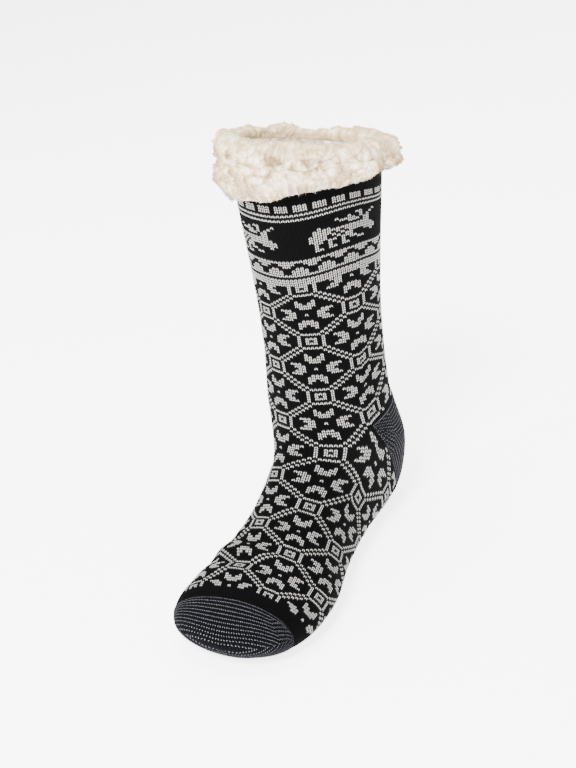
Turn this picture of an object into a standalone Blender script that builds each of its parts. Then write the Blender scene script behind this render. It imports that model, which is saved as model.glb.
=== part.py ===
"""Slipper sock: a knitted sock, its sherpa lining and the fluffy cuff at its collar.

The sock stands on a flat sole. +Z is up, the toe points along -Y and +X is the wearer's left.
All the walls are offsets of one surface, which is a family of rings. Each ring lies in a plane
through a point of the front line (shin, instep, toes) and a point of the back line (calf, heel,
sole). Rows of the walls follow the knitted courses: whole rings on the leg and foot, and short
rows that fan about the two gore tips in the heel pocket.
"""

import functools
import math
import random

import bmesh
import bpy
import numpy as np

MM = 0.001

# Driving sizes of the sock, outside
FOOT_LENGTH = 246 * MM
BALL_WIDTH = 103 * MM
BALL_HEIGHT = 58 * MM
ANKLE_HEIGHT = 92 * MM
ANKLE_WIDTH = 86 * MM
ANKLE_DEPTH = 89 * MM
LEG_RISE = 205 * MM
LEG_LEAN = math.radians(6.0)
RIM_DROP = 16 * MM
RIM_ROLL = 4.5 * MM
ARCH_LIFT = 2.2 * MM
SOLE_PRESS = 0.9 * MM

# Fabric
KNIT_WALL = 2.0 * MM
LINING_PILE = 4.2 * MM
POCKET_STEP = 0.5 * MM
FABRIC_GAP = 0.3 * MM

# Cuff
CUFF_HEIGHT = 36 * MM
CUFF_THICKNESS = 15.5 * MM
CUFF_TILT = 10.0 * MM
LOCK_RISE = 1.6 * MM
CUFF_SWAY = 1.2 * MM
LOCK_SEED = 7
LOCK_RANGE = (0.5, 1.3)
LOCK_CREST = 1.0
LOCK_DIP = -0.5

# Mesh rows and columns
COLUMNS = 36
TIP_COLUMN = 7
LEG_ROWS = 11
POCKET_ROWS = 5
FOOT_ROWS = 11
TOE_ROWS = 6
LOCK_COLUMNS = 2 * COLUMNS
ARC_STEPS = 96

# Leg sections
#  rise: above the ankle, share of LEG_RISE. wide: share of ANKLE_WIDTH. deep: share of
#  ANKLE_DEPTH. drop: how far the ring's back hangs below square, share of RIM_DROP, and how far
#  its +X side hangs, share of RIM_ROLL
LEG_SECTIONS = (
    (0.968, 1.175, 1.165, 1.00),
    (0.78, 1.135, 1.125, 0.15),
    (0.56, 1.045, 1.040, 0.00),
    (0.38, 0.985, 0.990, 0.00),
    (0.22, 0.980, 0.985, 0.00),
    (0.08, 1.010, 1.010, 0.00),
)
LEG_BACK = 0.060

# Foot sections
#  front, back: places forward of the heel, share of FOOT_LENGTH, each with its height as
#  shares of ANKLE_HEIGHT and of BALL_HEIGHT. inner (+X, arch side), outer: half widths, and
#  shift: sideways, share of BALL_WIDTH. waist: where the ring is widest, 0 at its back.
#  full: how square the ring's back half is, 2 being an ellipse
FOOT_SECTIONS = (
    (0.422, 1.085, 0.000, 0.035, 0.925, 0.000, 0.432, 0.425, 0.000, 0.50, 2.0),
    (0.443, 0.990, 0.000, 0.002, 0.520, 0.000, 0.440, 0.430, 0.000, 0.46, 2.1),
    (0.473, 0.925, 0.000, 0.018, 0.150, 0.000, 0.395, 0.410, 0.000, 0.44, 2.2),
    (0.512, 0.550, 0.500, 0.120, 0.000, 0.000, 0.362, 0.385, 0.000, 0.42, 2.5),
    (0.580, 0.300, 0.715, 0.330, 0.000, 0.000, 0.355, 0.360, 0.000, 0.42, 2.7),
    (0.655, 0.120, 0.870, 0.525, 0.000, 0.000, 0.400, 0.358, 0.000, 0.42, 2.7),
    (0.735, 0.000, 0.965, 0.685, 0.000, 0.000, 0.472, 0.420, 0.000, 0.41, 2.7),
    (0.810, 0.000, 0.860, 0.800, 0.000, 0.000, 0.475, 0.476, 0.000, 0.41, 2.6),
    (0.880, 0.000, 0.765, 0.880, 0.000, 0.005, 0.435, 0.502, -0.004, 0.42, 2.4),
    (0.940, 0.000, 0.665, 0.938, 0.000, 0.048, 0.355, 0.436, -0.008, 0.44, 2.2),
    (0.977, 0.000, 0.555, 0.976, 0.000, 0.137, 0.258, 0.316, -0.010, 0.48, 2.0),
    (0.995, 0.000, 0.446, 0.995, 0.000, 0.236, 0.146, 0.160, -0.012, 0.50, 2.0),
    (1.000, 0.000, 0.388, 1.000, 0.000, 0.294, 0.065, 0.068, -0.012, 0.50, 2.0),
)
ARCH_MIDDLE = 0.42
ARCH_REACH = 0.13

# Places along the family of rings, counted in sections from the collar down to the toes
#  The heel pocket opens between T_POCKET and T_HEEL on the back line. Its gore tips and the
#  front line are at T_TIP
T_TIP = len(LEG_SECTIONS) + 0.2
T_POCKET = len(LEG_SECTIONS) - 0.7
T_HEEL = len(LEG_SECTIONS) + 3.2
T_TOE = len(LEG_SECTIONS) + 8.5
POCKET_FULL = 0.75
T_END = float(len(LEG_SECTIONS) + len(FOOT_SECTIONS) - 1)

# Cuff profile from inside the collar over the roll and down to the hem
#  across: share of the whole roll, from the lining's pile out to CUFF_THICKNESS.
#  up: share of CUFF_HEIGHT above the collar's rim. lock: share of LOCK_RISE
CUFF_ROLL = (
    (0.030, 0.130, 0.4),
    (0.190, 0.185, 0.8),
    (0.435, 0.205, 1.0),
    (0.680, 0.180, 1.0),
    (0.877, 0.110, 1.0),
    (0.950, 0.035, 1.0),
    (0.890, -0.045, 0.3),
    (0.960, -0.130, 1.0),
    (1.000, -0.250, 1.0),
    (0.995, -0.375, 1.0),
    (0.940, -0.500, 1.0),
    (0.840, -0.620, 1.0),
    (0.675, -0.710, 1.0),
)
CUFF_HEM = (0.465, -0.740)

# Cuff profile up the side that faces the leg
#  clear: share of CUFF_THICKNESS off the knit. up: share of CUFF_HEIGHT
CUFF_BACK = (
    (0.100, -0.660),
    (0.065, -0.420),
    (0.040, -0.170),
)

# Ripples of the cuff round the leg
#  waves: how many. share: of CUFF_SWAY. turn: radians at the front
CUFF_WAVES = (
    (5, 0.8, 1.0),
    (9, 0.6, 2.2),
    (14, 0.4, 0.3),
)
CUFF_LOW_SIDE = 0.82

# Flatter sides of the cuff
#  side: place round the leg. thin: how much thinner. reach: share of the way round
CUFF_FLATS = (
    (0.845, 8.0 * MM, 0.12),
    (0.270, 3.0 * MM, 0.12),
)


def read_table(rows, at):
    """Read a table smoothly between its rows (Catmull-Rom)."""
    last = len(rows) - 1
    index = min(max(int(math.floor(at)), 0), last - 1)
    f = at - index
    p0 = rows[max(index - 1, 0)]
    p1 = rows[index]
    p2 = rows[index + 1]
    p3 = rows[min(index + 2, last)]
    slope = (p2 - p0) * f
    bend = (2 * p0 - 5 * p1 + 4 * p2 - p3) * f**2
    twist = (3 * p1 - p0 - 3 * p2 + p3) * f**3
    return 0.5 * (2 * p1 + slope + bend + twist)


def leg_section(rise, wide, deep, drop):
    """One ring of the leg, square to the leaning leg but for the drop of its back."""
    up = rise * LEG_RISE
    half_depth = deep * ANKLE_DEPTH / 2
    half_width = wide * ANKLE_WIDTH / 2
    forward = LEG_BACK * FOOT_LENGTH + ANKLE_DEPTH / 2 - up * math.sin(LEG_LEAN)
    high = ANKLE_HEIGHT + up * math.cos(LEG_LEAN)
    reach = half_depth * math.cos(LEG_LEAN)
    lift = half_depth * math.sin(LEG_LEAN)
    return (forward + reach, high + lift, forward - reach, high - lift - drop * RIM_DROP,
            half_width, half_width, 0.0, 0.5, 2.0, drop * RIM_ROLL / half_width)


def foot_section(front, front_ankle, front_ball, back, back_ankle, back_ball,
                 inner, outer, shift, waist, full):
    """One ring of the foot, with the arch lifted off the floor."""
    arch = ARCH_LIFT * math.exp(-((back - ARCH_MIDDLE) / ARCH_REACH) ** 2)
    front_high = front_ankle * ANKLE_HEIGHT + front_ball * BALL_HEIGHT
    back_high = back_ankle * ANKLE_HEIGHT + back_ball * BALL_HEIGHT + arch - SOLE_PRESS
    return (front * FOOT_LENGTH, front_high, back * FOOT_LENGTH, back_high,
            inner * BALL_WIDTH, outer * BALL_WIDTH, shift * BALL_WIDTH, waist, full, 0.0)


SECTIONS = np.array([leg_section(*row) for row in LEG_SECTIONS]
                    + [foot_section(*row) for row in FOOT_SECTIONS])


@functools.lru_cache(maxsize=None)
def half_ring(t, side):
    """Points of one side of a ring from front to back, and the share of its arc at each."""
    (front, front_high, back, back_high, inner, outer, shift, waist, full,
     roll) = read_table(SECTIONS, t)
    width = inner if side > 0 else outer
    turn = np.linspace(0, math.pi, ARC_STEPS)
    square = np.where(turn <= math.pi / 2, 2.0, full)
    cosine = np.abs(np.cos(turn)) ** (2 / square)
    along = np.where(turn <= math.pi / 2, waist + (1 - waist) * cosine, waist - waist * cosine)
    x = shift + side * width * np.sin(turn).clip(0) ** (2 / square)
    y = -(back + (front - back) * along)
    z = back_high + (front_high - back_high) * along - roll * x
    points = np.stack([x, y, z], axis=1)
    arc = np.concatenate([[0], np.cumsum(np.linalg.norm(np.diff(points, axis=0), axis=1))])
    return points, arc / arc[-1]


def ring_point(u, t):
    """A point of the ring t. u runs from 0 at the front past +X to 0.5 at the back and on to 1."""
    u = u % 1.0
    side = 1 if u <= 0.5 else -1
    share = 2 * u if side > 0 else 2 * (1 - u)
    points, arc = half_ring(min(max(t, 0.0), T_END), side)
    return np.array([np.interp(share, arc, points[:, axis]) for axis in range(3)])


def outward(u, t):
    """The direction out of the surface."""
    around = ring_point(u + 0.01, t) - ring_point(u - 0.01, t)
    down = ring_point(u, t + 0.04) - ring_point(u, t - 0.04)
    across = np.cross(down, around)
    return across / np.linalg.norm(across)


def surface(u, t, out=0.0):
    """A point at the height out over the sock's surface, pressed flat where it meets the floor."""
    point = ring_point(u, t) + out * outward(u, t)
    point[2] = max(point[2], -out, 0.0)
    return point


def pocket_turn(u):
    """How far a course has swung from the front line, 0, to the back line, 1."""
    from_front = min(u % 1.0, 1 - u % 1.0)
    tip = TIP_COLUMN / COLUMNS
    share = min(max((from_front - tip) / (0.5 - tip), 0.0), 1.0)
    return math.sin(share * math.pi / 2) ** POCKET_FULL


def course_point(u, front_t, back_t, out):
    """A point of the course that runs from front_t on the front line to back_t on the back."""
    return surface(u, front_t + (back_t - front_t) * pocket_turn(u), out)


class Skin:
    """Points and triangles of one solid while it is built."""

    def __init__(self):
        self.points = []
        self.faces = []

    def row(self, points):
        """Add a row of points and return their numbers."""
        start = len(self.points)
        self.points.extend(tuple(point) for point in points)
        return list(range(start, len(self.points)))

    def triangle(self, a, b, c):
        """Add a triangle unless two of its corners are one point."""
        if len({a, b, c}) == 3:
            self.faces.append((a, b, c))

    def join(self, upper, lower, closed=True):
        """Fill between two rows with as many points each."""
        count = len(upper)
        for j in range(count if closed else count - 1):
            k = (j + 1) % count
            self.triangle(upper[j], upper[k], lower[k])
            self.triangle(upper[j], lower[k], lower[j])

    def join_locks(self, upper, lower, crest):
        """Fill between two rows of locks, so that each crest is a peak. crest: the first one."""
        count = len(upper)
        for j in range(count):
            k = (j + 1) % count
            if j % 2 == crest:
                self.triangle(upper[j], upper[k], lower[j])
                self.triangle(upper[k], lower[k], lower[j])
            else:
                self.triangle(upper[j], upper[k], lower[k])
                self.triangle(upper[j], lower[k], lower[j])

    def join_double(self, coarse, fine):
        """Fill between a closed row and one with twice as many points."""
        for j in range(len(coarse)):
            k = (j + 1) % len(coarse)
            self.triangle(coarse[j], coarse[k], fine[2 * j + 1])
            self.triangle(coarse[j], fine[2 * j + 1], fine[2 * j])
            self.triangle(coarse[k], fine[2 * k], fine[2 * j + 1])

    def close_end(self, ring):
        """Zip a small ring from side to side, as the toe's last stitches are drawn together."""
        for j in range(len(ring) // 2):
            self.triangle(ring[j], ring[j + 1], ring[-j - 1])
            self.triangle(ring[j], ring[-j - 1], ring[-j])


def course_row(skin, front_t, back_t, out):
    """A whole course as a row of the skin."""
    return skin.row(course_point(j / COLUMNS, front_t, back_t, out) for j in range(COLUMNS))


def add_wall(skin, out, step=0.0):
    """One face of the knitted tube from the collar to the toes. Returns its collar row.

    The heel and toe pockets stand proud by step.
    """
    collar = course_row(skin, 0.0, 0.0, out)
    last = collar
    for i in range(1, LEG_ROWS + 1):
        ring = course_row(skin, T_TIP * i / LEG_ROWS, T_POCKET * i / LEG_ROWS, out)
        skin.join(last, ring)
        last = ring
    last = add_heel_pocket(skin, last, out, step)
    for i in range(1, FOOT_ROWS + 1):
        front_t = T_TIP + (T_TOE - T_TIP) * i / FOOT_ROWS
        back_t = T_HEEL + (T_TOE - T_HEEL) * i / FOOT_ROWS
        ring = course_row(skin, front_t, back_t, out)
        skin.join(last, ring)
        last = ring
    if step:
        ring = course_row(skin, T_TOE, T_TOE, out + step)
        skin.join(last, ring)
        last = ring
    for i in range(1, TOE_ROWS + 1):
        t = T_TOE + (T_END - T_TOE) * i / TOE_ROWS
        ring = course_row(skin, t, t, out + step)
        skin.join(last, ring)
        last = ring
    skin.close_end(last)
    return collar


def add_heel_pocket(skin, ankle, out, step):
    """The short rows between the gore tips. Returns the first whole ring below them."""
    back = range(TIP_COLUMN + 1, COLUMNS - TIP_COLUMN)
    tips = (ankle[TIP_COLUMN], ankle[COLUMNS - TIP_COLUMN])

    def short_row(share, height):
        t = T_POCKET + (T_HEEL - T_POCKET) * share
        points = [course_point(j / COLUMNS, T_TIP, t, height) for j in back]
        return [tips[0]] + skin.row(points) + [tips[1]]

    last = ankle[TIP_COLUMN:COLUMNS - TIP_COLUMN + 1]
    first = 0 if step else 1
    for i in range(first, POCKET_ROWS + 1):
        row = short_row(i / POCKET_ROWS, out + step)
        skin.join(last, row, closed=False)
        last = row
    if step:
        row = short_row(1.0, out)
        skin.join(last, row, closed=False)
        last = row
    return ankle[:TIP_COLUMN] + last + ankle[COLUMNS - TIP_COLUMN + 1:]


def cuff_place(u, out, up):
    """A point of the cuff: out from the knit's face, up along the leg from the collar's rim."""
    if up > 0:
        axis = np.array([0.0, math.sin(LEG_LEAN), math.cos(LEG_LEAN)])
        return surface(u, 0.0, out) + up * axis
    rises = [row[0] for row in LEG_SECTIONS]
    t = np.interp(-up / LEG_RISE, [rises[0] - rise for rise in rises], range(len(rises)))
    return surface(u, float(t), out)


def cuff_drop(u):
    """How much further the hem hangs on its low side, as a share of the height below the rim."""
    below_rim = -CUFF_HEM[1] * CUFF_HEIGHT
    return 1 + CUFF_TILT / below_rim * math.cos(2 * math.pi * (u - CUFF_LOW_SIDE))


def cuff_sway(u):
    """How far the cuff swells out at one place round the leg."""
    angle = 2 * math.pi * u
    return CUFF_SWAY * sum(share * math.sin(waves * angle + turn)
                           for waves, share, turn in CUFF_WAVES)


def cuff_thin(u):
    """How much thinner the pile lies at one place round the leg."""
    return sum(thin * math.exp(-(((u - side + 0.5) % 1.0 - 0.5) / reach) ** 2)
               for side, thin, reach in CUFF_FLATS)


def add_cuff(skin):
    """The ring of the cuff: over the rim, down outside in locks, and back up along the leg."""
    inside = KNIT_WALL + FABRIC_GAP + LINING_PILE
    across = CUFF_THICKNESS + inside
    numbers = random.Random(LOCK_SEED)

    def plain_row(out, up, thin=0.0):
        points = []
        for j in range(COLUMNS):
            u = j / COLUMNS
            place_up = up * cuff_drop(u) if up < 0 else up
            points.append(cuff_place(u, out - thin * cuff_thin(u), place_up))
        return skin.row(points)

    profile = [(row[0] * across - inside, row[1] * CUFF_HEIGHT) for row in CUFF_ROLL]
    hem = (CUFF_HEM[0] * across - inside, CUFF_HEM[1] * CUFF_HEIGHT)
    guide = [(-inside, FABRIC_GAP)] + profile + [hem]
    start = plain_row(-inside, FABRIC_GAP)
    last = start
    for i, (out, up) in enumerate(profile):
        before = guide[i]
        after = guide[i + 2]
        run = (after[0] - before[0], after[1] - before[1])
        size = math.hypot(*run)
        normal = (-run[1] / size, run[0] / size)
        points = []
        for j in range(LOCK_COLUMNS):
            u = j / LOCK_COLUMNS
            crest = LOCK_CREST if (i + j) % 2 else LOCK_DIP
            rise = LOCK_RISE * CUFF_ROLL[i][2] * crest * numbers.uniform(*LOCK_RANGE)
            share = CUFF_ROLL[i][0]
            swell = cuff_sway(u) * share - cuff_thin(u) * share**2
            place_out = out + rise * normal[0] + swell
            place_up = up + rise * normal[1]
            if place_up < 0:
                place_up = place_up * cuff_drop(u)
            points.append(cuff_place(u, place_out, place_up))
        row = skin.row(points)
        if i == 0:
            skin.join_double(last, row)
        else:
            skin.join_locks(last, row, i % 2)
        last = row
    row = plain_row(*hem, CUFF_HEM[0] ** 2)
    skin.join_double(row, last)
    last = row
    for clear, up in CUFF_BACK:
        row = plain_row(clear * CUFF_THICKNESS, up * CUFF_HEIGHT)
        skin.join(last, row)
        last = row
    row = plain_row(2 * FABRIC_GAP, FABRIC_GAP)
    skin.join(last, row)
    skin.join(row, start)


def knit_upper():
    """The knitted sock: leg, heel pocket, foot and toe pocket in one."""
    skin = Skin()
    skin.join(add_wall(skin, 0.0, POCKET_STEP), add_wall(skin, -KNIT_WALL))
    return skin


def sherpa_lining():
    """The lining: a sock inside the sock."""
    skin = Skin()
    face = KNIT_WALL + FABRIC_GAP
    skin.join(add_wall(skin, -face), add_wall(skin, -face - LINING_PILE))
    return skin


def sherpa_cuff():
    """The fluffy cuff that turns out over the collar."""
    skin = Skin()
    add_cuff(skin)
    return skin


def make_material(name, colour, roughness):
    """A plain material with the piece's own colour."""
    material = bpy.data.materials.new(name)
    material.use_nodes = True
    shader = material.node_tree.nodes["Principled BSDF"]
    shader.inputs["Base Color"].default_value = (*colour, 1.0)
    shader.inputs["Roughness"].default_value = roughness
    shader.inputs["Metallic"].default_value = 0.0
    return material


def make_object(name, skin, shift, material):
    """Turn a skin into an object, moved so that the whole sock is centred over the origin."""
    mesh = bpy.data.meshes.new(name)
    mesh.from_pydata([tuple(np.array(point) + shift) for point in skin.points], [], skin.faces)
    edit = bmesh.new()
    edit.from_mesh(mesh)
    bmesh.ops.remove_doubles(edit, verts=edit.verts, dist=0.01 * MM)
    bmesh.ops.recalc_face_normals(edit, faces=edit.faces)
    edit.to_mesh(mesh)
    edit.free()
    mesh.shade_smooth()
    mesh.materials.append(material)
    item = bpy.data.objects.new(name, mesh)
    bpy.context.scene.collection.objects.link(item)
    return item


def centre_shift(skins):
    """The move that brings the middle of the sock's box over the origin."""
    points = np.array([point for skin in skins for point in skin.points])
    middle = (points.min(axis=0) + points.max(axis=0)) / 2
    return np.array([-middle[0], -middle[1], 0.0])


def main():
    """Build the sock."""
    for item in list(bpy.data.objects):
        bpy.data.objects.remove(item, do_unlink=True)
    yarn = make_material("black_and_white_knit", (0.012, 0.012, 0.014), 0.9)
    pile = make_material("cream_sherpa", (0.82, 0.75, 0.64), 0.95)
    pieces = {
        "knit_upper": (knit_upper(), yarn),
        "sherpa_lining": (sherpa_lining(), pile),
        "sherpa_cuff": (sherpa_cuff(), pile),
    }
    shift = centre_shift([skin for skin, _ in pieces.values()])
    for name, (skin, material) in pieces.items():
        make_object(name, skin, shift, material)


main()
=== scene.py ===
"""Slipper sock in black and white yarn with a cream sherpa lining and cuff, as it looks finished.

Every visible surface follows the sock's own face, which is the family of rings that the CAD uses.
Stitches, clumps of pile and grip dots are laid on it in the sock's real sizes.
"""

import math

import bpy
import numpy as np
from mathutils import Matrix, Vector, noise


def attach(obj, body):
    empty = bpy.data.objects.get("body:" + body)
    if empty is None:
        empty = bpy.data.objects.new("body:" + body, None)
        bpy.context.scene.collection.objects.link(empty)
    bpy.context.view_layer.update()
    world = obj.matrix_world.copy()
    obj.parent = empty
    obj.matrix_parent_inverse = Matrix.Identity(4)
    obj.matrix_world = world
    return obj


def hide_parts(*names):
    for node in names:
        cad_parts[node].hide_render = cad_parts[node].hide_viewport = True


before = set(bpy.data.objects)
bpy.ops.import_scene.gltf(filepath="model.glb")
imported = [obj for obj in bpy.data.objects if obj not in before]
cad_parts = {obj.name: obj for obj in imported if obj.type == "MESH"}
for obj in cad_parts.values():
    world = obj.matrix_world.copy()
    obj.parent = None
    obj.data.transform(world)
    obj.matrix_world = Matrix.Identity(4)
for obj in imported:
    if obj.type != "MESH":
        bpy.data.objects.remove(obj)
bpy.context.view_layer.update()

MM = 0.001

# Sizes of the sock, as in the CAD
FOOT_LENGTH = 246 * MM
BALL_WIDTH = 103 * MM
BALL_HEIGHT = 58 * MM
ANKLE_HEIGHT = 92 * MM
ANKLE_WIDTH = 86 * MM
ANKLE_DEPTH = 89 * MM
LEG_RISE = 205 * MM
LEG_LEAN = math.radians(6.0)
RIM_DROP = 16 * MM
RIM_ROLL = 4.5 * MM
ARCH_LIFT = 2.2 * MM
ARCH_MIDDLE = 0.42
ARCH_REACH = 0.13
SOLE_PRESS = 0.9 * MM
CENTRE = np.array([-1.430, 109.588, 0.0]) * MM
LEG_BACK = 0.060
LINING_FACE = 6.5 * MM
CUFF_HEIGHT = 36 * MM
CUFF_THICKNESS = 15.5 * MM
CUFF_TILT = 10.0 * MM
CUFF_SWAY = 1.2 * MM
CUFF_LOW_SIDE = 0.82
# Share of the way round where the heel pocket's gores end: a little nearer the front than in the
# CAD, because here it only sets how the courses fan and not the sock's face
GORE_TIP = 6.4 / 36
ARC_STEPS = 96

# Rings of the leg: rise share, width share, depth share, drop share of its back and +X side
LEG_SECTIONS = (
    (0.968, 1.175, 1.165, 1.00),
    (0.78, 1.135, 1.125, 0.15),
    (0.56, 1.045, 1.040, 0.00),
    (0.38, 0.985, 0.990, 0.00),
    (0.22, 0.980, 0.985, 0.00),
    (0.08, 1.010, 1.010, 0.00),
)

# Rings of the foot: front place and its two heights, back place and its two heights,
# inner and outer half width, shift, waist, fullness
FOOT_SECTIONS = (
    (0.422, 1.085, 0.000, 0.035, 0.925, 0.000, 0.432, 0.425, 0.000, 0.50, 2.0),
    (0.443, 0.990, 0.000, 0.002, 0.520, 0.000, 0.440, 0.430, 0.000, 0.46, 2.1),
    (0.473, 0.925, 0.000, 0.018, 0.150, 0.000, 0.395, 0.410, 0.000, 0.44, 2.2),
    (0.512, 0.550, 0.500, 0.120, 0.000, 0.000, 0.362, 0.385, 0.000, 0.42, 2.5),
    (0.580, 0.300, 0.715, 0.330, 0.000, 0.000, 0.355, 0.360, 0.000, 0.42, 2.7),
    (0.655, 0.120, 0.870, 0.525, 0.000, 0.000, 0.400, 0.358, 0.000, 0.42, 2.7),
    (0.735, 0.000, 0.965, 0.685, 0.000, 0.000, 0.472, 0.420, 0.000, 0.41, 2.7),
    (0.810, 0.000, 0.860, 0.800, 0.000, 0.000, 0.475, 0.476, 0.000, 0.41, 2.6),
    (0.880, 0.000, 0.765, 0.880, 0.000, 0.005, 0.435, 0.502, -0.004, 0.42, 2.4),
    (0.940, 0.000, 0.665, 0.938, 0.000, 0.048, 0.355, 0.436, -0.008, 0.44, 2.2),
    (0.977, 0.000, 0.555, 0.976, 0.000, 0.137, 0.258, 0.316, -0.010, 0.48, 2.0),
    (0.995, 0.000, 0.446, 0.995, 0.000, 0.236, 0.146, 0.160, -0.012, 0.50, 2.0),
    (1.000, 0.000, 0.388, 1.000, 0.000, 0.294, 0.065, 0.068, -0.012, 0.50, 2.0),
)
T_TIP = len(LEG_SECTIONS) + 0.2
T_POCKET = len(LEG_SECTIONS) - 0.7
T_HEEL = len(LEG_SECTIONS) + 3.2
T_TOE = len(LEG_SECTIONS) + 8.5
T_END = float(len(LEG_SECTIONS) + len(FOOT_SECTIONS) - 1)
POCKET_FULL = 0.62

# Cuff from inside the collar over the roll and down to the hem, then up along the leg:
# across share of the roll, up share of CUFF_HEIGHT, share of the pile's relief
CUFF_PROFILE = (
    (-0.020, 0.000, 0.0),
    (0.030, 0.130, 0.5),
    (0.190, 0.185, 0.9),
    (0.435, 0.205, 1.0),
    (0.680, 0.180, 1.0),
    (0.877, 0.110, 1.0),
    (0.950, 0.035, 1.0),
    (0.955, -0.045, 1.0),
    (0.960, -0.130, 1.0),
    (1.000, -0.250, 1.0),
    (0.995, -0.375, 1.0),
    (0.940, -0.500, 1.0),
    (0.840, -0.620, 1.0),
    (0.675, -0.710, 0.9),
    (0.500, -0.740, 0.6),
    (0.360, -0.660, 0.0),
    (0.330, -0.420, 0.0),
    (0.315, -0.170, 0.0),
)
CUFF_WAVES = ((5, 0.8, 1.0), (9, 0.6, 2.2), (14, 0.4, 0.3))
CUFF_FLATS = ((0.845, 8.0 * MM, 0.12), (0.270, 3.0 * MM, 0.12))

# Knitting
WALES = 96
REPEAT = 24
LEG_COURSES = 124
LAST_COURSE = 210
FIRST_COURSE = 8
TOE_COURSES = 24
HEEL_COURSE = 2.3 * MM
TWIST_START = 0.0145
TWIST_PER_COURSE = 0.000404
CHEVRON = 0.9
STITCH_DEPTH = 0.6 * MM
SOLE_CLEAR = 0.8 * MM

# Millimetres down the front line at some courses: the knit is stretched unevenly
COURSE_PLACES = ((0, 0.0), (25, 35.5), (84, 130.0), (108, 170.5), (132, 210.3), (156, 249.0),
                 (180, 287.5), (204, 322.0))

# Where the cuff's fold pulls the top courses up: place round the sock, reach and millimetres
PULLS = ((0.17, 0.085, 4.5), (0.0, 0.07, -1.5))
PULL_FULL = 58
PULL_END = 84

# Chart rows from the collar down, counted in courses
DASH_TOP = 24
LINES = (28, 30)
MOOSE_TOP = 33
WAVE_TOP = 48
BORDER = (56, 57, 58)
LATTICE_TOP = 59
SQUARE_ROW = 84
LATTICE_END = 205

# A moose of the traditional kind, one letter a stitch
MOOSE = (
    "...........##...#",
    "......#..#..#..#.",
    ".......####.#.#..",
    "..#......###.##..",
    ".####........##..",
    ".##############..",
    "#####.#.########.",
    "####.#.#.########",
    "####..#.##...####",
    ".##.##.###.....#.",
    ".#..#..#.##......",
    ".#..#..#...##....",
    ".##.##.##........",
)
# Wave band: half widths of the hanging and the standing figures, row by row
WAVE_UPPER = (4, 2, 1, 0, 0, 0, 4)
WAVE_LOWER = (4, 0, 0, 1, 2, 2, 4)

# Half of the paw-like figure between the squares: row and stitches from the cell's middle
BAT = {3: (-1, 0, 1), 4: (-2, -1, 0, 1, 2), 5: (-2, -1, 1, 2), 6: (-2, 2)}

BLACK, WHITE, MARL, DARK = range(4)


def read_table(rows, at):
    """Read a table smoothly between its rows (Catmull-Rom)."""
    last = len(rows) - 1
    index = min(max(int(math.floor(at)), 0), last - 1)
    f = at - index
    p0 = rows[max(index - 1, 0)]
    p1 = rows[index]
    p2 = rows[index + 1]
    p3 = rows[min(index + 2, last)]
    slope = (p2 - p0) * f
    bend = (2 * p0 - 5 * p1 + 4 * p2 - p3) * f**2
    twist = (3 * p1 - p0 - 3 * p2 + p3) * f**3
    return 0.5 * (2 * p1 + slope + bend + twist)


def leg_section(rise, wide, deep, drop):
    """One ring of the leg, square to the leaning leg but for the drop of its back."""
    up = rise * LEG_RISE
    half_depth = deep * ANKLE_DEPTH / 2
    half_width = wide * ANKLE_WIDTH / 2
    forward = LEG_BACK * FOOT_LENGTH + ANKLE_DEPTH / 2 - up * math.sin(LEG_LEAN)
    high = ANKLE_HEIGHT + up * math.cos(LEG_LEAN)
    reach = half_depth * math.cos(LEG_LEAN)
    lift = half_depth * math.sin(LEG_LEAN)
    return (forward + reach, high + lift, forward - reach, high - lift - drop * RIM_DROP,
            half_width, half_width, 0.0, 0.5, 2.0, drop * RIM_ROLL / half_width)


def foot_section(front, front_ankle, front_ball, back, back_ankle, back_ball,
                 inner, outer, shift, waist, full):
    """One ring of the foot, with the arch lifted off the floor."""
    arch = ARCH_LIFT * math.exp(-((back - ARCH_MIDDLE) / ARCH_REACH) ** 2)
    front_high = front_ankle * ANKLE_HEIGHT + front_ball * BALL_HEIGHT
    back_high = back_ankle * ANKLE_HEIGHT + back_ball * BALL_HEIGHT + arch - SOLE_PRESS
    return (front * FOOT_LENGTH, front_high, back * FOOT_LENGTH, back_high,
            inner * BALL_WIDTH, outer * BALL_WIDTH, shift * BALL_WIDTH, waist, full, 0.0)


SECTIONS = np.array([leg_section(*row) for row in LEG_SECTIONS]
                    + [foot_section(*row) for row in FOOT_SECTIONS])


def half_ring(t, side):
    """Points of one side of a ring from front to back, and the share of its arc at each."""
    (front, front_high, back, back_high, inner, outer, shift, waist, full,
     roll) = read_table(SECTIONS, t)
    width = inner if side > 0 else outer
    turn = np.linspace(0, math.pi, ARC_STEPS)
    square = np.where(turn <= math.pi / 2, 2.0, full)
    cosine = np.abs(np.cos(turn)) ** (2 / square)
    along = np.where(turn <= math.pi / 2, waist + (1 - waist) * cosine, waist - waist * cosine)
    x = shift + side * width * np.sin(turn).clip(0) ** (2 / square)
    y = -(back + (front - back) * along)
    z = back_high + (front_high - back_high) * along - roll * x
    points = np.stack([x, y, z], axis=1)
    arc = np.concatenate([[0], np.cumsum(np.linalg.norm(np.diff(points, axis=0), axis=1))])
    return points, arc / arc[-1]


# Net of places on the sock's face
NET_U = 576
NET_T = 721
net_u = np.arange(NET_U) / NET_U
net_t = np.linspace(0, T_END, NET_T)


def build_net():
    """Points of the face for all net_t and net_u, and the directions out of it."""
    net = np.empty((NET_T, NET_U, 3))
    for row, t in zip(net, net_t):
        for side in (1, -1):
            pick = net_u <= 0.5 if side > 0 else net_u > 0.5
            share = 2 * net_u[pick] if side > 0 else 2 * (1 - net_u[pick])
            points, arc = half_ring(t, side)
            for axis in range(3):
                row[pick, axis] = np.interp(share, arc, points[:, axis])
    down = np.gradient(net, axis=0)
    around = np.roll(net, -1, axis=1) - np.roll(net, 1, axis=1)
    out = np.cross(down, around)
    out /= np.linalg.norm(out, axis=2, keepdims=True)
    return net + CENTRE, out


net_points, net_out = build_net()


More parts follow.
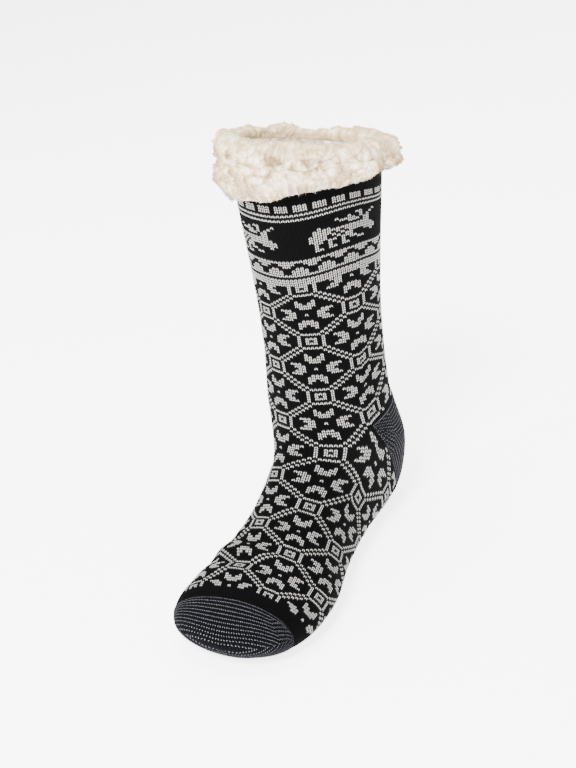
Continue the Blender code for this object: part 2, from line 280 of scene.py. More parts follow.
def read_net(net, u, t):
    """Read the net between its points."""
    a = (u % 1.0) * NET_U
    b = np.clip(t / T_END, 0, 1) * (NET_T - 1)
    i = np.floor(a).astype(int) % NET_U
    j = np.minimum(np.floor(b).astype(int), NET_T - 2)
    f = (a - np.floor(a))[..., None]
    g = (b - j)[..., None]
    k = (i + 1) % NET_U
    upper = net[j, i] * (1 - f) + net[j, k] * f
    lower = net[j + 1, i] * (1 - f) + net[j + 1, k] * f
    return upper * (1 - g) + lower * g


def face_place(u, t, out, clear=0.0):
    """Points at the height out over the face, which is kept clear of the floor."""
    point = read_net(net_points, u, t)
    normal = read_net(net_out, u, t)
    point[..., 2] = np.maximum(point[..., 2], clear)
    point = point + np.asarray(out)[..., None] * normal
    return point


def line_arc(u):
    """Lengths down one line of the face, at each net_t."""
    line = read_net(net_points, np.full(NET_T, u), net_t)
    return np.concatenate([[0], np.cumsum(np.linalg.norm(np.diff(line, axis=0), axis=1))])


front_arc = line_arc(0.0)
back_arc = line_arc(0.5)


def pocket_turn(u):
    """How far a course has swung from the front line, 0, to the back line, 1."""
    from_front = np.minimum(u % 1.0, 1 - u % 1.0)
    share = np.clip((from_front - GORE_TIP) / (0.5 - GORE_TIP), 0, 1)
    return np.sin(share * math.pi / 2) ** POCKET_FULL


# Soft creases of the worn knit: place round the sock, millimetres down the front line, reach
# round, half width, depth in millimetres (troughs are negative) and slant in millimetres
CREASES = (
    (0.02, 264, 0.17, 5.0, -1.6, 10),
    (0.97, 283, 0.17, 4.0, -2.4, 8),
    (0.94, 292, 0.15, 3.6, 2.0, 6),
    (0.96, 301, 0.18, 4.0, -3.0, 6),
    (0.94, 310, 0.13, 3.6, 1.6, 2),
    (0.05, 190, 0.16, 6.0, -1.0, 10),
    (0.10, 204, 0.13, 5.0, 0.8, 14),
    (0.93, 216, 0.12, 5.0, -0.9, -12),
    (0.16, 176, 0.10, 5.0, -0.7, -8),
    (0.92, 152, 0.14, 7.0, -0.6, 10),
    (0.14, 122, 0.12, 7.0, -0.5, 12),
)


def crease(u, t):
    """Height of the creases over the plain face."""
    along = np.interp(t, net_t, front_arc)
    total = np.zeros_like(along)
    for middle, at, reach, half, depth, slant in CREASES:
        off = (u - middle + 0.5) % 1.0 - 0.5
        across = (along - (at + slant * off / reach) * MM) / (half * MM)
        total += depth * MM * np.exp(-across**2 - (off / reach) ** 2 * 2)
    return total


def lattice(c, r):
    """Whether the lattice of squares, diagonals and paws has a white stitch there."""
    c = (c + REPEAT // 2) % REPEAT - REPEAT // 2
    r = (r + REPEAT // 2) % REPEAT - REPEAT // 2
    for mid_c, mid_r in ((0, 0), (-12, -12), (12, -12), (-12, 12), (12, 12)):
        a, b = abs(c - mid_c), abs(r - mid_r)
        if a <= 1 and b <= 1 and a + b > 0 or a == 3 and b <= 2 or b == 3 and a <= 2:
            return True
        if 4 <= a <= 9 and b == a - 1 or 3 <= a <= 8 and b == a + 1:
            return True
    for mid_c, mid_r in ((0, -12), (0, 12), (-12, 0), (12, 0)):
        across, down = c - mid_c, r - mid_r
        if across == 0 and down == 0:
            return True
        if across in BAT.get(abs(down), ()) or down in BAT.get(abs(across), ()):
            return True
    return False


def chart(wale, course):
    """The yarn of one stitch of the leg and foot."""
    if DASH_TOP <= course < DASH_TOP + 3:
        return WHITE if wale % 4 != 1 else BLACK
    if course in LINES or course in BORDER:
        return WHITE
    if MOOSE_TOP <= course < MOOSE_TOP + len(MOOSE):
        column = (wale - 4) % REPEAT
        row = MOOSE[course - MOOSE_TOP]
        return WHITE if column < len(row) and row[column] == "#" else BLACK
    if WAVE_TOP <= course < WAVE_TOP + len(WAVE_UPPER):
        step = course - WAVE_TOP
        upper = abs((wale - 0.5) % 6 - 3)
        return WHITE if upper < WAVE_UPPER[step] or 3 - upper < WAVE_LOWER[step] else BLACK
    if LATTICE_TOP <= course < LATTICE_END and lattice(wale, course - SQUARE_ROW):
        return WHITE
    return BLACK


# One stitch seen across: place over its width, height in the row between two stitches and on
# the stitch itself
# These heights also go to the yarn materials as loft, where they become painted shade towards the
# grooves
ACROSS = np.array([0.0, 0.25, 0.5, 0.75])
LOW = np.array([0.0, 0.45, 0.10, 0.45])
HIGH = np.array([0.05, 1.0, 0.35, 1.0])
WOBBLE = 0.05
WHITE_RISE = 0.12 * MM
WOBBLE_RISE = 0.03 * MM
MIDDLE_LOFT = 0.7
numbers = np.random.default_rng(11)


def make_mesh(name, points, faces, materials, indices=None, **attributes):
    """An object from points and faces that rides with the sock."""
    mesh = bpy.data.meshes.new(name)
    mesh.from_pydata(points.tolist(), [], faces.tolist())
    for material in materials:
        mesh.materials.append(material)
    if indices is not None:
        mesh.polygons.foreach_set("material_index", indices.astype(np.int32))
    for key, values in attributes.items():
        layer = mesh.attributes.new(key, "FLOAT", "POINT")
        layer.data.foreach_set("value", np.asarray(values, dtype=np.float32).ravel())
    mesh.shade_smooth()
    mesh.update()
    item = bpy.data.objects.new(name, mesh)
    bpy.context.scene.collection.objects.link(item)
    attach(item, "root")
    return item


def net_faces(rows, columns, closed):
    """Corner numbers of the quads of a net of points."""
    index = np.arange(rows * columns).reshape(rows, columns)
    if closed:
        index = np.concatenate([index, index[:, :1]], axis=1)
    quads = np.stack([index[:-1, :-1], index[:-1, 1:], index[1:, 1:], index[1:, :-1]], axis=-1)
    return quads.reshape(-1, 4)


def knit(place, courses, wales, yarn, twist, closed=True):
    """A piece of knitting: each stitch is a chevron of two legs that rises towards the collar.

    place: function of the wale's share of the way round, the course and the height.
    yarn: function of wale and course. twist: place of wale 0 at a course.
    Every stitch is a little out of place, as in real knitting.
    """
    rows = np.arange(courses[0], courses[1] + 0.25, 0.5)
    count = len(wales)
    p = np.tile(ACROSS, count)
    wale = np.repeat(np.asarray(wales, dtype=float), 4)
    if not closed:
        p, wale = p[:-3], wale[:-3]
    edge = np.minimum(rows - courses[0], courses[1] - rows).clip(0, 1)[:, None]
    rise = 1 - np.abs(2 * p - 1)
    course = rows[:, None] - CHEVRON * edge * (rise - 0.5)
    top = (np.arange(len(rows)) % 2)[:, None]
    low, high = np.tile(LOW, count)[:len(p)], np.tile(HIGH, count)[:len(p)]
    loft = np.where(top, high, low)
    whole_row = np.floor(rows + 1e-6).astype(int)
    whole_wale = wale.astype(int)
    yarns = np.array([[yarn(w, c) for w in whole_wale[::4]] for c in whole_row])
    raised = np.repeat(yarns == WHITE, 4, axis=1)[:, :len(p)] * (loft > 0.3) * top
    shape = course.shape
    wobble = numbers.normal(0, WOBBLE, shape)
    height = STITCH_DEPTH * (loft - MIDDLE_LOFT) + WHITE_RISE * raised + WOBBLE_RISE * wobble
    course = course + 0.6 * wobble * edge
    u = twist(course) + (wale + p - 0.5 + 0.35 * wobble * (rise > 0) * edge) / WALES
    points = place(u, course, height)
    quads = net_faces(len(rows), len(p), closed)
    columns = len(p) if closed else len(p) - 1
    indices = np.repeat(yarns[:-1], 4, axis=1)[:, :columns].ravel()
    return points, quads, indices, loft


SMALLEST_QUAD = 0.002 * MM**2


def drop_empty(points, quads, indices):
    """Leave out quads whose corners fall together."""
    flat = points.reshape(-1, 3)
    area = np.linalg.norm(np.cross(flat[quads[:, 2]] - flat[quads[:, 0]],
                                   flat[quads[:, 3]] - flat[quads[:, 1]]), axis=1)
    keep = area > SMALLEST_QUAD
    return quads[keep], indices[keep]


def straight_twist(course):
    """Where wale 0 lies on the leg and foot."""
    return TWIST_START + TWIST_PER_COURSE * course


POCKET_STEP = 0.5 * MM
tip_arc, toe_arc, end_arc = np.interp([T_TIP, T_TOE, T_END], net_t, front_arc)
known = [course for course, _ in COURSE_PLACES if course < LEG_COURSES]
later = [course for course, _ in COURSE_PLACES if course > LEG_COURSES]
places = dict(COURSE_PLACES)
front_line = ([(c, places[c] * MM) for c in known] + [(LEG_COURSES, tip_arc)]
              + [(c, places[c] * MM) for c in later] + [(LAST_COURSE, toe_arc)])
all_courses = np.arange(LAST_COURSE + 1)
front_t = np.interp(np.interp(all_courses, *zip(*front_line)), front_arc, net_t)
leg_share = np.clip(all_courses / LEG_COURSES, 0, 1)
pocket_arc, tip_back_arc, heel_arc, toe_back_arc = np.interp(
    [T_POCKET, T_TIP, T_HEEL, T_TOE], net_t, back_arc)
leg_back = np.interp(front_t, net_t, back_arc) - (tip_back_arc - pocket_arc) * leg_share**2
foot_share = np.clip((all_courses - LEG_COURSES) / (LAST_COURSE - LEG_COURSES), 0, 1)
foot_back = heel_arc + (toe_back_arc - heel_arc) * foot_share
leg_back_t = np.interp(leg_back, back_arc, net_t)
foot_back_t = np.interp(foot_back, back_arc, net_t)
heel_length = heel_arc - pocket_arc
ankle_twist = float(straight_twist(LEG_COURSES))
toe_twist = float(straight_twist(LAST_COURSE))
toe_length = end_arc - toe_arc
TOE_END_HALF = 2.7 * MM
end_ring = read_net(net_points, net_u, np.full(NET_U, T_END))
end_middle = (end_ring.min(axis=0) + end_ring.max(axis=0)) / 2


def pulled(u, t, course):
    """Place along the face after the cuff's fold has pulled the courses."""
    fade = np.clip((PULL_END - course) / (PULL_END - PULL_FULL), 0, 1)
    lift = sum(size * MM * np.exp(-(((u - side + 0.5) % 1.0 - 0.5) / reach) ** 2)
               for side, reach, size in PULLS)
    return np.interp(np.interp(t, net_t, front_arc) - lift * fade, front_arc, net_t)


def tube_place(back_t):
    """The place function of the leg or the foot."""
    def on_tube(u, course, height):
        front = np.interp(course, all_courses, front_t)
        back = np.interp(course, all_courses, back_t)
        t = pulled(u, front + (back - front) * pocket_turn(u), course)
        return face_place(u, t, height + crease(u, t), SOLE_CLEAR)
    return on_tube


def heel_half(lower):
    """The place function of half the heel pocket, whose courses run along its edge."""
    def on_heel(u, course, height):
        turn = pocket_turn(u)
        share = np.clip(course * HEEL_COURSE / np.maximum(heel_length * turn, 1e-6), 0, 0.5)
        share = 1 - share if lower else share
        back = np.interp(pocket_arc + share * heel_length, back_arc, net_t)
        t = T_TIP + (back - T_TIP) * turn
        return face_place(u, t, height + POCKET_STEP * np.minimum(course, 1), SOLE_CLEAR)
    return on_heel


def on_toe(u, course, height):
    """A place of the toe pocket: each course is the pocket's edge moved towards the tip."""
    angle = 2 * math.pi * u
    across, along = np.sin(angle), np.cos(angle)
    along = np.sign(along) * np.maximum(np.abs(along) - course / TOE_COURSES, 0)
    far = np.hypot(across, along)
    turned = np.arctan2(across, along) / (2 * math.pi)
    run = (1 - far) * (toe_length + TOE_END_HALF)
    t = np.interp(toe_arc + run, front_arc, net_t)
    points = face_place(turned, t, height + POCKET_STEP * np.minimum(course, 1), SOLE_CLEAR)
    inside = np.clip((run - toe_length) / TOE_END_HALF, 0, 1)[..., None]
    flat_end = end_middle + (points - end_middle) * (1 - inside) ** 0.5
    flat_end[..., 0] = points[..., 0] * (1 - inside[..., 0]) + end_middle[0] * inside[..., 0]
    flat_end[..., 1] -= TOE_END_HALF * 0.5 * np.sin(inside[..., 0] * math.pi / 2)
    return np.where(inside > 0, flat_end, points)


HEEL_WALES = range(math.floor((GORE_TIP - ankle_twist) * WALES) - 1,
                   math.ceil((1 - GORE_TIP - ankle_twist) * WALES) + 2)


# Stitches beside the gore tips, and the arch side of the toe, where the stripes break into specks
SPECKLED_WALES = 9
SPECKLED_TOE = (0.13, 0.33)


def heel_marl(wale, course):
    """Stripes along the heel pocket's edges, broken into specks beside the gore tips."""
    from_tip = min(wale - HEEL_WALES[0], HEEL_WALES[-1] - wale)
    if from_tip < SPECKLED_WALES and course > 1:
        return MARL if (wale + course) % 2 else DARK
    return MARL if course % 2 else DARK


def toe_marl(wale, course):
    """Stripes along the toe pocket's edge, with specks on the arch side."""
    place = (wale / WALES + toe_twist) % 1.0
    if SPECKLED_TOE[0] < place < SPECKLED_TOE[1] and course > 2:
        return MARL if (wale + course) % 2 else DARK
    return MARL if course % 2 == 0 else DARK


def srgb(code):
    """A hex colour as linear light."""
    parts = [int(code[i:i + 2], 16) / 255 for i in (1, 3, 5)]
    return tuple(c / 12.92 if c <= 0.04045 else ((c + 0.055) / 1.055) ** 2.4 for c in parts)


def node(tree, kind, settings=None, links=None):
    """Add a node. settings: its properties and plain inputs. links: inputs from other nodes."""
    made = tree.nodes.new(kind)
    for key, value in (settings or {}).items():
        if isinstance(key, str) and key in made.bl_rna.properties:
            setattr(made, key, value)
        else:
            made.inputs[key].default_value = value
    for key, socket in (links or {}).items():
        tree.links.new(socket, made.inputs[key])
    return made


def surface(name, **settings):
    """A material with a Principled shader, its tree and the shader."""
    material = bpy.data.materials.new(name)
    material.use_nodes = True
    shader = material.node_tree.nodes["Principled BSDF"]
    for key, value in settings.items():
        shader.inputs[key.replace("_", " ")].default_value = value
    return material, material.node_tree, shader


def ramp(tree, factor, stops):
    """Colours along a factor. stops: place and hex colour."""
    made = node(tree, "ShaderNodeValToRGB", links={"Fac": factor})
    for i, (place, code) in enumerate(stops):
        stop = made.color_ramp.elements[i] if i < 2 else made.color_ramp.elements.new(place)
        stop.position = place
        stop.color = (*srgb(code), 1)
    return made.outputs["Color"]


YARN_FUZZ = 1.1 * MM
CUFF_FUZZ = 1.4 * MM
LINING_FUZZ = 2.0 * MM


def yarn_material(name, groove_ground_and_shade, shade, crest, sheen):
    """Spun acrylic yarn, matt and slightly hairy: dark between the stitches by painted shade, full
    on the legs.

    The fuzz of the real yarn is finer than YARN_FUZZ, which is as coarse as the render shows.
    """
    material, tree, shader = surface(name, Roughness=0.92, Specular_IOR_Level=0.05,
                                     Sheen_Weight=sheen, Sheen_Roughness=0.5)
    place = node(tree, "ShaderNodeTexCoord").outputs["Object"]
    loft = node(tree, "ShaderNodeAttribute", {"attribute_name": "loft"}).outputs["Fac"]
    fuzz = node(tree, "ShaderNodeTexNoise", {"Scale": 1 / YARN_FUZZ, "Detail": 3}, {"Vector": place})
    mixed = node(tree, "ShaderNodeMath", {"operation": "MULTIPLY_ADD", 1: 0.35},
                 {0: fuzz.outputs["Fac"], 2: loft})
    # Painted shade: the colour runs from crest to groove with the stitch height loft
    shaded_tone = ramp(tree, mixed.outputs[0], ((0.42, groove_ground_and_shade), (0.80, shade), (1.14, crest)))
    bump = node(tree, "ShaderNodeBump", {"Strength": 0.5, "Distance": 0.2 * MM},
                {"Height": fuzz.outputs["Fac"]})
    tree.links.new(shaded_tone, shader.inputs["Base Color"])
    tree.links.new(bump.outputs[0], shader.inputs["Normal"])
    return material


# Black acrylic, the ground of the pattern: swallows light, and painted shade darkens it further
# towards the grooves, so only the stitches' crests show
black_yarn = yarn_material("black_acrylic_yarn_matt", "#010101", "#020203", "#060607", 0.0)
# Off-white acrylic: a soft grey white with dark slits, partly the black ground showing through and
# partly painted shade towards the grooves
white_yarn = yarn_material("white_acrylic_yarn_matt", "#060606", "#666663", "#DADAD6", 0.03)
# Grey marl and the navy black beside it: thin pale stripes on a dark pocket, both darkened towards
# the grooves by painted shade
marl_yarn = yarn_material("grey_marl_yarn_matt", "#010102", "#0B0C0F", "#6A6B71", 0.0)
dark_yarn = yarn_material("navy_black_marl_yarn_matt", "#010102", "#040407", "#0C0D12", 0.0)
yarns = (black_yarn, white_yarn, marl_yarn, dark_yarn)


def pile_material(name, deep, mid, light, fuzz_size):
    """Sherpa pile, soft and matt: darkened in the crevices to a warm painted shade, near white on
    the clumps.
    """
    material, tree, shader = surface(name, Roughness=0.95, Specular_IOR_Level=0.15,
                                     Sheen_Weight=0.15, Sheen_Roughness=0.6,
                                     Subsurface_Weight=0.06, Subsurface_Scale=2 * MM)
    place = node(tree, "ShaderNodeTexCoord").outputs["Object"]
    loft = node(tree, "ShaderNodeAttribute", {"attribute_name": "loft"}).outputs["Fac"]
    fuzz = node(tree, "ShaderNodeTexNoise", {"Scale": 1 / fuzz_size, "Detail": 5, "Roughness": 0.65},
                {"Vector": place})
    mixed = node(tree, "ShaderNodeMath", {"operation": "MULTIPLY_ADD", 1: 0.3},
                 {0: fuzz.outputs["Fac"], 2: loft})
    # Painted shade: the pile darkens from the clumps' tops into their crevices by loft
    shaded_tone = ramp(tree, mixed.outputs[0], ((0.44, deep), (0.78, mid), (1.03, light)))
    bump = node(tree, "ShaderNodeBump", {"Strength": 0.6, "Distance": 0.5 * MM},
                {"Height": fuzz.outputs["Fac"]})
    tree.links.new(shaded_tone, shader.inputs["Base Color"])
    tree.links.new(bump.outputs[0], shader.inputs["Normal"])
    return material


# Polyester sherpa, curled: warm, with painted shade in the crevices between its clumps
cuff_pile = pile_material("cream_sherpa_pile_soft", "#8A7150", "#CFB68E", "#FDF3E1",
                          CUFF_FUZZ)
# The same pile combed down at the hem, where its fibres lie side by side: greyer, as painted shade
# under the cuff
shaded_hem_pile = pile_material("sherpa_fringe_painted_shade_soft", "#7D726A", "#B3A89E", "#E0D8CF",
                         CUFF_FUZZ)
# The same pile brushed flat inside the sock: paler and more even, with milder painted shade in its
# crevices
lining_pile = pile_material("cream_lining_pile_soft", "#B5A68F", "#D8CDBB", "#F1EADE",
                            LINING_FUZZ)


def knit_object(name, made):
    """A knitted object from the points and faces of knit()."""
    points, quads, indices, loft = made
    quads, indices = drop_empty(points, quads, indices)
    item = make_mesh(name, points.reshape(-1, 3), quads, yarns, indices, loft=loft)
    return item


leg = knit_object("knit_leg", knit(tube_place(leg_back_t), (FIRST_COURSE, LEG_COURSES),
                                   range(WALES), chart, straight_twist))
knit_object("knit_foot", knit(tube_place(foot_back_t), (LEG_COURSES, LAST_COURSE),
                              range(WALES), chart, straight_twist))
knit_object("knit_toe", knit(on_toe, (0, TOE_COURSES), range(WALES), toe_marl,
                             lambda course: toe_twist))
heel_courses = math.ceil(heel_length / 2 / HEEL_COURSE)
for label, lower in (("upper", False), ("lower", True)):
    knit_object("knit_heel_" + label,
                knit(heel_half(lower), (0, heel_courses), HEEL_WALES, heel_marl,
                     lambda course: ankle_twist, closed=False))
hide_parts("knit_upper")


PROFILE_STEPS = 400
HEM_DEPTH = 0.74 * CUFF_HEIGHT


def cuff_base(rows, columns):
    """Places of the cuff's smooth shape, row by row along its profile."""
    table = np.array(CUFF_PROFILE + CUFF_PROFILE[:1])
    across = CUFF_THICKNESS + LINING_FACE
    fine = np.array([read_table(table, s)
                     for s in np.linspace(0, len(table) - 1, PROFILE_STEPS)])
    fine_run = np.stack([fine[:, 0] * across, fine[:, 1] * CUFF_HEIGHT], axis=1)
    fine_length = np.concatenate([[0], np.cumsum(np.linalg.norm(np.diff(fine_run, axis=0),
                                                                axis=1))])
    at = np.linspace(0, fine_length[-1], rows + 1)[:-1]
    out = np.interp(at, fine_length, fine_run[:, 0]) - LINING_FACE
    up = np.interp(at, fine_length, fine_run[:, 1])
    relief = np.interp(at, fine_length, fine[:, 2]).clip(0, 1)
    share = np.interp(at, fine_length, fine[:, 0])
    u = np.arange(columns) / columns
    angle = 2 * math.pi * u
    sway = CUFF_SWAY * sum(s * np.sin(n * angle + turn) for n, s, turn in CUFF_WAVES)
    thin = sum(size * np.exp(-(((u - side + 0.5) % 1.0 - 0.5) / reach) ** 2)
               for side, size, reach in CUFF_FLATS)
    drop = 1 + CUFF_TILT / HEM_DEPTH * np.cos(2 * math.pi * (u - CUFF_LOW_SIDE))
    grid_u, grid_out = np.meshgrid(u, out)
    grid_out = grid_out + (relief[:, None] > 0) * (sway[None, :] * share[:, None]
                                                   - thin[None, :] * share[:, None]**2)
    grid_up = np.where(up[:, None] < 0, up[:, None] * drop[None, :], up[:, None] + 0 * u)
    rises = [row[0] for row in LEG_SECTIONS]
    t = np.interp(-grid_up / LEG_RISE, [rises[0] - rise for rise in rises], range(len(rises)))
    points = face_place(grid_u, t, grid_out)
    axis = np.array([0.0, math.sin(LEG_LEAN), math.cos(LEG_LEAN)])
    points += np.maximum(grid_up, 0)[..., None] * axis
    return points, np.repeat(relief[:, None], columns, axis=1), up / CUFF_HEIGHT


def net_normals(points):
    """Directions out of a net that closes on itself both ways."""
    down = np.roll(points, -1, axis=0) - np.roll(points, 1, axis=0)
    around = np.roll(points, -1, axis=1) - np.roll(points, 1, axis=1)
    out = np.cross(around, down)
    return out / np.maximum(np.linalg.norm(out, axis=2, keepdims=True), 1e-12)


# Far apart places of the noise that give the three parts of a direction
BEND_SHIFTS = (Vector((9.3, 0.0, 0.0)), Vector((0.0, 17.1, 4.2)), Vector((3.7, 5.5, 21.9)))


def bend(at):
    """A smooth direction at a place, the same on every run."""
    return Vector([noise.noise(at + shift) for shift in BEND_SHIFTS])


def clumps(points, size, seed):
    """Round clumps at points, 0 in the crevices between them to 1 on top, by cells of size."""
    relief = np.empty(len(points))
    shift = Vector((seed * 7.3, seed * 3.1, seed * 5.7))
    for i, point in enumerate(points):
        at = Vector(point) / size + shift
        at += 0.45 * bend(at * 0.8) + 0.2 * bend(at * 2.1)
        near = noise.voronoi(at)[0]
        edge = min((near[1] - near[0]) / 0.5, 1)
        relief[i] = math.sqrt(1 - (1 - edge) ** 2) * (1.1 - 0.5 * near[0])
    return relief


def waves(points, size, seed):
    """Smooth noise from -1 to 1 with features of size."""
    shift = Vector((seed * 3.3, seed * 9.1, seed * 2.7))
    return np.array([noise.noise(Vector(point) / size + shift) for point in points])


def strands(name, roots, out, flow, length, width, loft, material):
    """Fine hairs as tapering ribbons of two pieces, which rise from the roots and lie along flow.

    Real fibres are finer than width. They are as coarse as the render needs to show them.
    """
    count = len(roots)
    aside = np.cross(flow, out + 0.6 * numbers.normal(size=(count, 3)))
    aside /= np.linalg.norm(aside, axis=1, keepdims=True)
    middle = roots + length[:, None] * (0.30 * out + 0.38 * flow)
    tip = middle + length[:, None] * (0.02 * out + 0.60 * flow)
    rows = []
    for place, share in ((roots - 0.3 * MM * out, 1.0), (middle, 0.8), (tip, 0.25)):
        rows += [place - aside * width * share, place + aside * width * share]
    points = np.stack(rows, axis=1).reshape(-1, 3)
    start = np.arange(count)[:, None] * 6
    faces = np.concatenate([start + [0, 1, 3, 2], start + [2, 3, 5, 4]])
    # Roots a fifth darker than the rest of each hair: painted shade where the hair leaves the pile,
    # on top of the pile's own painted crevice shade
    lofts_with_root_shade = np.stack([loft * 0.8, loft * 0.8, loft, loft, loft, loft], axis=1)
    item = make_mesh(name, points, faces, [material], loft=lofts_with_root_shade)
    return item


# Heights of the pile's relief in millimetres, and the sizes of what makes it
CLUMP_HEIGHT, CLUMP_SIZE = 5.4, 9.5 * MM
CURL_HEIGHT, CURL_SIZE = 2.4, 4.4 * MM
LOBE_HEIGHT, LOBE_SIZE = 5.6, 22 * MM
GRAIN_HEIGHT, GRAIN_SIZE = 0.35, 1.3 * MM
FLUTE_SIZE = 1.9 * MM
MERGE_SIZE = 8 * MM
CUFF_RADIUS = 60 * MM
# The cuff's net. Its roll and hem are combed, and the rest is curled
CUFF_ROWS = 132
CUFF_COLUMNS = 720
TURN = np.arange(CUFF_COLUMNS) * 2 * math.pi / CUFF_COLUMNS
base, relief, rise = cuff_base(CUFF_ROWS, CUFF_COLUMNS)
flat = base.reshape(-1, 3)
shape = relief.shape
high = np.repeat(rise[:, None], CUFF_COLUMNS, axis=1)
outer = relief > 0.3
top = np.clip((high - 0.03) / 0.1, 0, 1) * outer
hem = np.clip((-0.50 - high) / 0.12, 0, 1) * outer
combed = np.maximum(0.55 * top, hem)
circle = np.stack([np.cos(TURN), np.sin(TURN), 0 * TURN], axis=1) * CUFF_RADIUS
flutes = np.repeat(waves(circle, FLUTE_SIZE, 7)[None, :], CUFF_ROWS, axis=0)
large = clumps(flat * (1, 1, 1.6), CLUMP_SIZE, 1).reshape(shape)
small = clumps(flat, CURL_SIZE, 2).reshape(shape)
merge = np.clip(0.75 + 1.3 * waves(flat, MERGE_SIZE, 8).reshape(shape), 0.25, 1)
large = 1 - (1 - large) * merge
lobes = waves(flat, LOBE_SIZE, 5).reshape(shape)
grain = waves(flat, GRAIN_SIZE, 6).reshape(shape)
out = net_normals(base)
curled = CLUMP_HEIGHT * (large - 0.75) + CURL_HEIGHT * (small - 0.7)
lift = relief * MM * ((1 - 0.8 * combed) * curled + (0.3 + hem) * flutes * combed
                      + LOBE_HEIGHT * lobes + GRAIN_HEIGHT * grain)
cuff_points = base + out * lift[..., None]
# loft: the height of the clumps and flutes, which the pile material turns into painted shade in
# their hollows
loft = (1 - combed) * (0.6 * large + 0.4 * small) + combed * (0.66 + (0.2 + 0.4 * hem) * flutes)
loft = 0.5 + (loft.clip(0, 1) - 0.5) * np.clip(relief * 1.3, 0, 1)
quads = net_faces(CUFF_ROWS, CUFF_COLUMNS, True)
wrap = np.arange(CUFF_COLUMNS)
last = (CUFF_ROWS - 1) * CUFF_COLUMNS
closing = np.stack([last + wrap, last + (wrap + 1) % CUFF_COLUMNS,
                    (wrap + 1) % CUFF_COLUMNS, wrap], axis=1)
cuff = make_mesh("cuff_pile", cuff_points.reshape(-1, 3), np.concatenate([quads, closing]),
                 [cuff_pile], loft=loft)
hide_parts("sherpa_cuff")


def unit(rows):
    """Rows of directions at length 1."""
    return rows / np.linalg.norm(rows, axis=1, keepdims=True)


SWIRL_SIZE = 5 * MM


def cuff_hairs(name, count, chance, comb, lengths, width, material):
    """Hairs at random places of the cuff by chance, combed along its profile by comb, 0 to 1."""
    weight = (chance * (0.15 + loft)).ravel()
    pick = numbers.choice(weight.size, count, p=weight / weight.sum())
    normal = cuff_normals.reshape(-1, 3)[pick]
    swirl = np.array([bend(Vector(flat[k]) / SWIRL_SIZE) for k in pick])
    swirl = unit(swirl + 0.2 * numbers.normal(size=swirl.shape))
    flow = comb * cuff_run.reshape(-1, 3)[pick] + (1 - comb) * swirl
    flow -= normal * (flow * normal).sum(axis=1, keepdims=True)
    roots = cuff_points.reshape(-1, 3)[pick] + 0.3 * MM * numbers.normal(size=flow.shape)
    strands(name, roots, normal, unit(flow), MM * numbers.uniform(*lengths, count), width,
            loft.ravel()[pick], material)


cuff_normals = net_normals(cuff_points)
cuff_run = np.roll(base, -1, axis=0) - base
cuff_run /= np.linalg.norm(cuff_run, axis=2, keepdims=True)
# Curled hairs all over, combed ones on the roll and longer ones at the hem
cuff_hairs("cuff_hairs", 9000, outer * 1.0, 0.25, (0.8, 1.6), 0.08 * MM, cuff_pile)
cuff_hairs("cuff_combed_hairs", 9000, top, 0.7, (2.0, 4.0), 0.10 * MM, cuff_pile)
cuff_hairs("cuff_hem_hairs", 12000, hem * (high > -0.71), 0.92, (2.0, 4.2), 0.13 * MM, shaded_hem_pile)

# Lining: the same family of rings inside the sock, with low clumps
LINING_ROWS = 260
LINING_COLUMNS = 300
LINING_CLUMP = 8 * MM
LINING_RELIEF = 1.6 * MM
lining_t = np.linspace(0.0, T_END, LINING_ROWS)
grid_u, grid_t = np.meshgrid(np.arange(LINING_COLUMNS) / LINING_COLUMNS, lining_t)
flat = face_place(grid_u, grid_t, np.full(grid_u.shape, -LINING_FACE))
large = clumps(flat.reshape(-1, 3), LINING_CLUMP, 4).reshape(grid_u.shape)
inner = face_place(grid_u, grid_t, -LINING_FACE - LINING_RELIEF * (large - 0.3))
# The clumps' height goes on as loft, which gives the pile its painted shade in the crevices
lining = make_mesh("lining_pile", inner.reshape(-1, 3),
                   net_faces(LINING_ROWS, LINING_COLUMNS, True), [lining_pile], loft=large)
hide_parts("sherpa_lining")

# Clear grip dots under the sole: pitch, radius and rings of radius share and millimetres high
DOT_PITCH = 10 * MM
DOT_RADIUS = 1.7 * MM
DOT_RINGS = ((1.0, -0.3), (0.85, 0.45), (0.45, 0.75))
DOT_TOP = 0.8 * MM
DOT_SIDES = 10
DOTS_ACROSS = 4
SOLE_FACING = -0.35


def dot_places():
    """Middles of the dots in offset rows from heel to toe, with the directions out there."""
    rows = np.arange(heel_arc + 4 * MM, toe_back_arc - 2 * MM, DOT_PITCH * math.sqrt(0.75))
    for i, along in enumerate(rows):
        t = float(np.interp(along, back_arc, net_t))
        ring = read_net(net_points, net_u, np.full(NET_U, t))
        girth = np.linalg.norm(np.roll(ring, -1, axis=0) - ring, axis=1).sum()
        for k in range(-DOTS_ACROSS, DOTS_ACROSS + 1):
            u = 0.5 + (k + 0.5 * (i % 2)) * DOT_PITCH / girth
            middle = face_place(np.array([u]), np.array([t]), 0.0, SOLE_CLEAR)[0]
            normal = read_net(net_out, np.array([u]), np.array([t]))[0]
            if normal[2] < SOLE_FACING:
                yield middle, normal


def dot_points(middle, normal):
    """Points of one low dome."""
    aside = np.cross(normal, (0, 1, 0))
    aside /= np.linalg.norm(aside)
    ahead = np.cross(aside, normal)
    angle = np.arange(DOT_SIDES)[:, None] * 2 * math.pi / DOT_SIDES
    way = np.cos(angle) * aside + np.sin(angle) * ahead
    rings = [middle + radius * DOT_RADIUS * way + height * MM * normal
             for radius, height in DOT_RINGS]
    return np.concatenate(rings + [[middle + DOT_TOP * normal]])


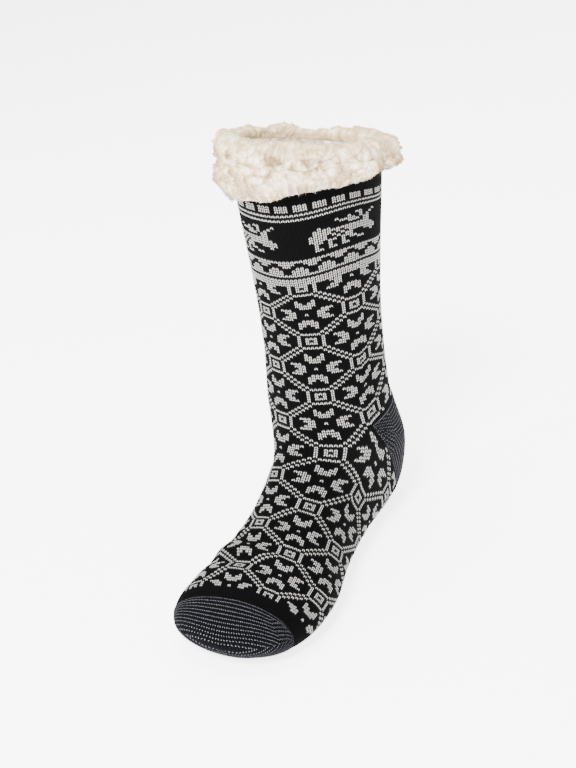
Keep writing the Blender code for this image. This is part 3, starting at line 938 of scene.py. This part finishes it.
def dot_faces(start):
    """Faces of the dome whose points start at a number."""
    sides = np.arange(DOT_SIDES)
    after = (sides + 1) % DOT_SIDES
    walls = [np.stack([ring + sides, ring + after, ring + DOT_SIDES + after,
                       ring + DOT_SIDES + sides], axis=1) for ring in (0, DOT_SIDES)]
    top = 2 * DOT_SIDES
    even = sides[::2]
    cap = np.stack([top + even, top + even + 1, top + (even + 2) % DOT_SIDES,
                    np.full(len(even), top + DOT_SIDES)], axis=1)
    return start + np.concatenate(walls + [cap])


# Clear silicone, cast and glossy: each dot shows as a small bright point over the black sole
dot_material, _, _ = surface("clear_silicone_grip_glossy", Roughness=0.18, IOR=1.43,
                             Base_Color=(*srgb("#D8D8D6"), 1), Transmission_Weight=0.75)
domes = [dot_points(*place) for place in dot_places()]
dots = make_mesh("grip_dots", np.maximum(np.concatenate(domes), (-1, -1, 0)),
                 np.concatenate([dot_faces(i * len(domes[0])) for i in range(len(domes))]),
                 [dot_material])

# Camera at the photo's angle to the sock
AIM = np.array([-0.00143, 0.00959, 0.12])
AZIMUTH, ELEVATION, ROLL = (math.radians(a) for a in (30.9, 27.9, -9.5))
DISTANCE = 0.9
LENS = 61.05
SENSOR = 36
SHIFT = (-0.01536, 0.0220)
back = np.array([math.sin(AZIMUTH) * math.cos(ELEVATION),
                 -math.cos(AZIMUTH) * math.cos(ELEVATION), math.sin(ELEVATION)])
level = np.array([math.cos(AZIMUTH), math.sin(AZIMUTH), 0.0])
upright = np.cross(back, level)
right = level * math.cos(ROLL) + upright * math.sin(ROLL)
up = upright * math.cos(ROLL) - level * math.sin(ROLL)
camera = bpy.data.objects.new("camera", bpy.data.cameras.new("camera"))
camera.matrix_world = Matrix([(*row, place) for row, place in
                              zip(np.stack([right, up, back], axis=1), AIM + DISTANCE * back)]
                             + [(0, 0, 0, 1)])
camera.data.lens = LENS
camera.data.sensor_width = SENSOR
camera.data.shift_x, camera.data.shift_y = SHIFT
bpy.context.scene.collection.objects.link(camera)
bpy.context.scene.camera = camera

# Plain pale floor, lit from within so that it stays near white
FLOOR_REACH = 40
FLOOR_GLOW = 3.9
STUDIO_GLOW = 1.05
floor_material, _, _ = surface("white_studio_floor_matt", Roughness=0.8,
                               Base_Color=(*srgb("#F8F8F8"), 1),
                               Emission_Color=(1, 1, 1, 1), Emission_Strength=FLOOR_GLOW)
floor_mesh = bpy.data.meshes.new("floor")
floor_mesh.from_pydata([(x * FLOOR_REACH, y * FLOOR_REACH, 0)
                        for x, y in ((-1, -1), (1, -1), (1, 1), (-1, 1))], [], [(0, 1, 2, 3)])
floor_mesh.materials.append(floor_material)
floor = bpy.data.objects.new("floor", floor_mesh)
bpy.context.scene.collection.objects.link(floor)


def area_light(name, place, size, power):
    """A soft box that points at the middle of the sock."""
    light = bpy.data.lights.new(name, "AREA")
    light.shape = "SQUARE"
    light.size = size
    light.energy = power
    item = bpy.data.objects.new(name, light)
    item.location = place
    item.rotation_mode = "QUATERNION"
    item.rotation_quaternion = (Vector(AIM) - Vector(place)).to_track_quat("-Z", "Y")
    bpy.context.scene.collection.objects.link(item)


# Soft boxes: place, side in metres and power in watts
area_light("key", (0.2, -1.45, 2.0), 0.7, 165)
area_light("fill", (-1.2, -1.2, 1.2), 1.4, 22)
area_light("top", (-0.2, 0.5, 2.2), 1.2, 62)
world = bpy.data.worlds.new("studio")
world.use_nodes = True
world.node_tree.nodes["Background"].inputs["Color"].default_value = (1, 1, 1, 1)
world.node_tree.nodes["Background"].inputs["Strength"].default_value = STUDIO_GLOW
bpy.context.scene.world = world
